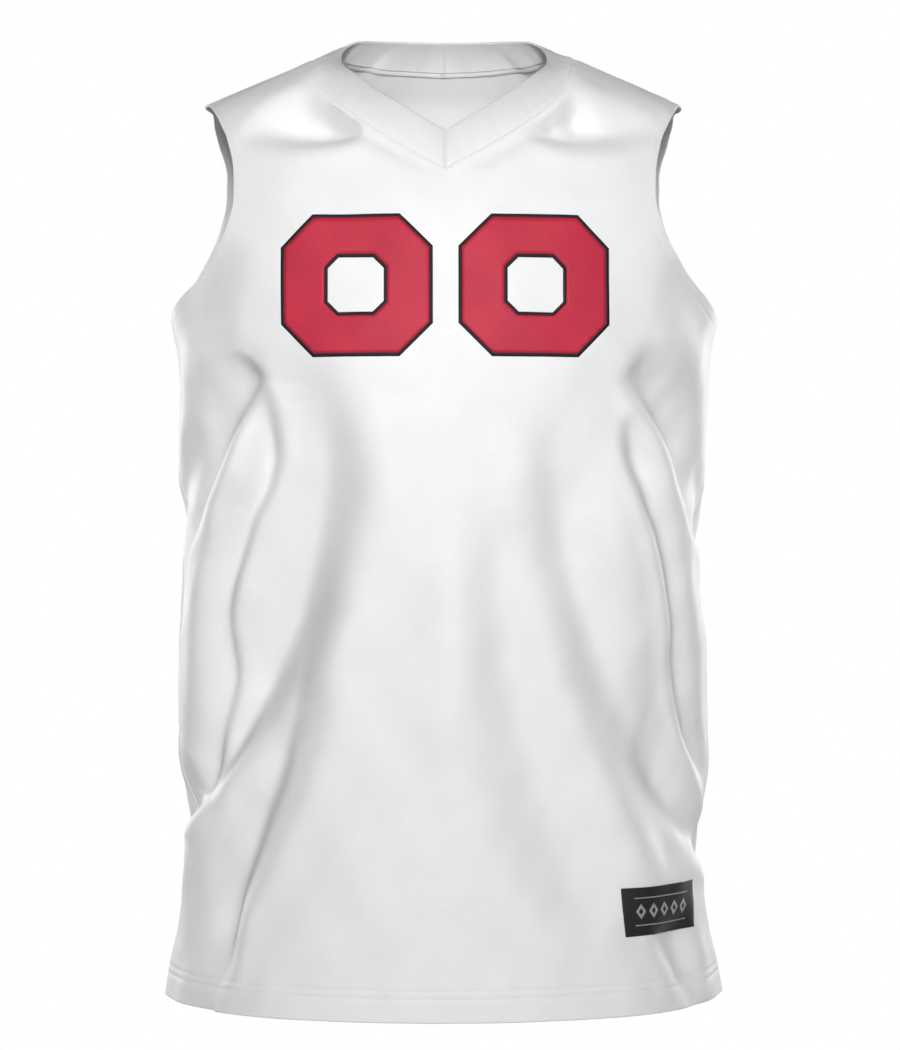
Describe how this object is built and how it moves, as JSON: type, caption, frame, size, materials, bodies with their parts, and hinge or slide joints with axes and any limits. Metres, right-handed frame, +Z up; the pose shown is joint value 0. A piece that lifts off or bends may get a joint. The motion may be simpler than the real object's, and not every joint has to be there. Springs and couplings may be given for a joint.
{
  "type": "basketball jersey",
  "caption": "Sleeveless V-neck basketball jersey in its worn, filled-out form, with a neck band, deep armholes and a woven tag above the hem.",
  "frame": {"origin": "midway between the two shoulder points, where the shoulder seams meet the neck band: the wearer's shoulders carry the jersey there", "axes": "+Z up along the wearer's body, the front faces -Y, the wearer's left is +X; the hem lies about 0.76 m below the origin"},
  "size_m": [0.451, 0.272, 0.7906],
  "materials": {
    "panel_cloth": "smooth satin-matt polyester knit, white",
    "band_cloth": "the same white knit, doubled",
    "tag_cloth": "black woven label"
  },
  "bodies": {
    "root": {"front_panel": "panel_cloth", "back_panel": "panel_cloth", "neck_band": "band_cloth", "hem_tag": "tag_cloth"}
  },
  "joints": []
}
